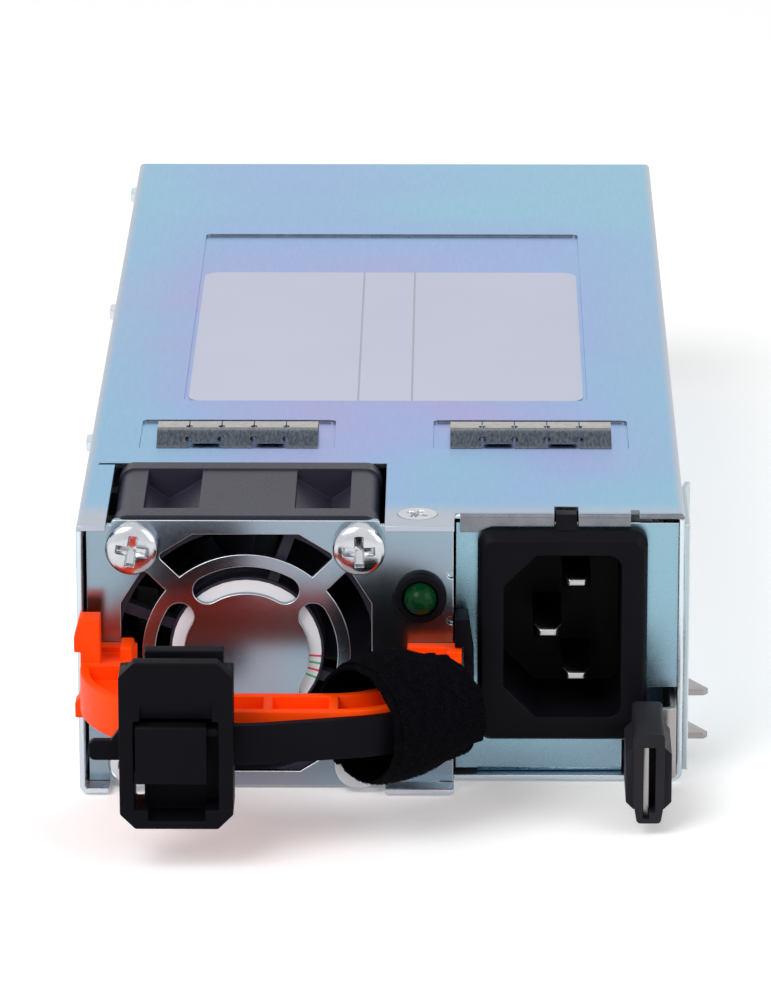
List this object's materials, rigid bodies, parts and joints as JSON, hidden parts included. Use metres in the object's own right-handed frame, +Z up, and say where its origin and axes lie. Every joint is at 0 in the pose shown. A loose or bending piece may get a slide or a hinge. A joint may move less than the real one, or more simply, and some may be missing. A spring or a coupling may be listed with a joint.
{
  "type": "plug-in switching power supply",
  "caption": "Slim sheet-steel plug-in power supply with a front fan, mains inlet, status lamp, orange pull handle, cord strap and sprung side latch.",
  "frame": {"origin": "centre of the case underside, taken between the side walls and between the front and rear edges of the case", "axes": "+Z up, -Y out of the front with the handle and inlet, +Y towards the rear output edge, +X towards the latch side"},
  "size_m": [0.0904, 0.2363, 0.0413],
  "materials": {
    "zinc_steel": "satin",
    "plate_steel": "polished",
    "spring_metal": "bright",
    "screw_steel": "bright",
    "label_film": "matte",
    "hub_label": "matte",
    "fan_plastic": "matte",
    "black_plastic": "satin",
    "clip_plastic": "satin",
    "handle_plastic": "semi-gloss",
    "band_fabric": "fuzzy",
    "lamp_lens": "gloss",
    "pin_metal": "plated",
    "board_laminate": "satin",
    "sheet_film": "satin",
    "ferrite": "matte",
    "copper_winding": "enamelled",
    "part_plastic": "matte",
    "sink_aluminium": "extruded",
    "can_aluminium": "sleeved",
    "fuse_glass": "ceramic",
    "wire_plastic": "satin"
  },
  "bodies": {
    "module": {"base_tray": "zinc_steel", "top_cover": "zinc_steel", "inlet_panel": "zinc_steel", "rear_panel": "zinc_steel", "latch_guide": "zinc_steel", "fan_plate": "plate_steel", "contact_strip_left": "spring_metal", "contact_strip_right": "spring_metal", "cover_screw": "screw_steel", "fan_screws": "screw_steel", "board_screws": "screw_steel", "board_standoffs": "screw_steel", "guide_rivets": "screw_steel", "latch_rivets": "screw_steel", "rating_label": "label_film", "fan_label": "hub_label", "fan_frame": "fan_plastic", "lamp_bezel": "black_plastic", "inlet_housing": "black_plastic", "fan_socket": "black_plastic", "ratchet_strap": "clip_plastic", "pull_handle": "handle_plastic", "hook_and_loop_band": "band_fabric", "status_lamp": "lamp_lens", "inlet_pins": "pin_metal", "main_board": "board_laminate", "control_board": "board_laminate", "insulating_sheet": "sheet_film", "common_mode_choke": "ferrite", "main_transformer": "ferrite", "boost_choke": "ferrite", "output_choke": "ferrite", "transformer_winding": "copper_winding", "boost_winding": "copper_winding", "output_winding": "copper_winding", "line_capacitor": "part_plastic", "inrush_relay": "part_plastic", "bridge_rectifier": "part_plastic", "standby_transformer": "part_plastic", "primary_transistors": "part_plastic", "secondary_transistors": "part_plastic", "primary_heatsink": "sink_aluminium", "secondary_heatsink": "sink_aluminium", "bulk_capacitors": "can_aluminium", "output_capacitors": "can_aluminium", "fuse_link": "fuse_glass", "inlet_wires": "wire_plastic", "fan_lead": "wire_plastic"},
    "rotor": {"fan_rotor": "fan_plastic"},
    "latch": {"latch_spring": "spring_metal", "latch_tab": "black_plastic"},
    "slider": {"strap_slider": "clip_plastic", "flap_pin": "clip_plastic"},
    "flap": {"release_flap": "clip_plastic"}
  },
  "joints": [
    {"name": "fan_spin", "type": "hinge", "parent": "module", "child": "rotor", "pos_m": [-0.01907, -0.0795, 0.02], "axis": [0, 1, 0], "continuous": true},
    {"name": "latch_press", "type": "hinge", "parent": "module", "child": "latch", "pos_m": [0.04135, -0.012, 0.0075], "axis": [0, 0, -1], "range_deg": [0, 2], "stiffness_Nm_per_rad": 20},
    {"name": "slider_slide", "type": "slide", "parent": "module", "child": "slider", "axis": [1, 0, 0], "range_m": [-0.008, 0.001]},
    {"name": "flap_lift", "type": "hinge", "parent": "slider", "child": "flap", "pos_m": [-0.0277, -0.12756, 0.02], "axis": [-1, 0, 0], "range_deg": [0, 20], "stiffness_Nm_per_rad": 0.01}
  ]
}
